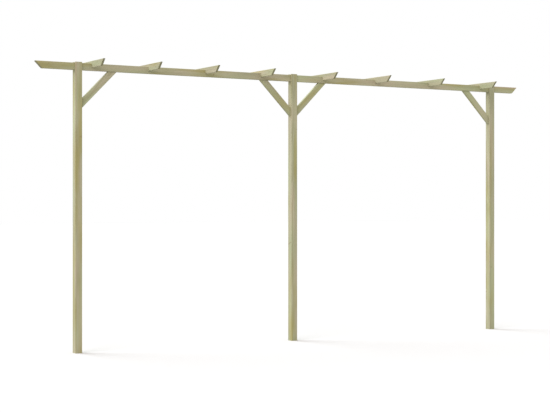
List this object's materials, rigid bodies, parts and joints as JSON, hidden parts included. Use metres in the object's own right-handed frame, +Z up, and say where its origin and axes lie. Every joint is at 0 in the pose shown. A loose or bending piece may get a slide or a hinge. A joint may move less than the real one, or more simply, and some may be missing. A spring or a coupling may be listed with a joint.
{
  "type": "wooden pergola",
  "caption": "Narrow free-standing garden pergola: a row of square posts carries a beam with short rafters across it and corner braces, in pressure-treated pine.",
  "frame": {"origin": "centre of the middle post's foot, at ground level", "axes": "+X along the beam towards the right-hand post, +Y across the beam, +Z up"},
  "size_m": [4.171, 0.434, 1.996],
  "materials": {
    "treated_pine": "planed pressure-treated pine, pale green, bare",
    "zinc_plated_screw": "zinc-plated steel screw head"
  },
  "bodies": {
    "root": {"left_post": "treated_pine", "middle_post": "treated_pine", "right_post": "treated_pine", "left_beam": "treated_pine", "right_beam": "treated_pine", "left_post_brace": "treated_pine", "middle_post_left_brace": "treated_pine", "middle_post_right_brace": "treated_pine", "right_post_brace": "treated_pine", "rafter_1": "treated_pine", "rafter_2": "treated_pine", "rafter_3": "treated_pine", "rafter_4": "treated_pine", "rafter_5": "treated_pine", "rafter_6": "treated_pine", "rafter_7": "treated_pine", "rafter_8": "treated_pine"}
  },
  "joints": []
}
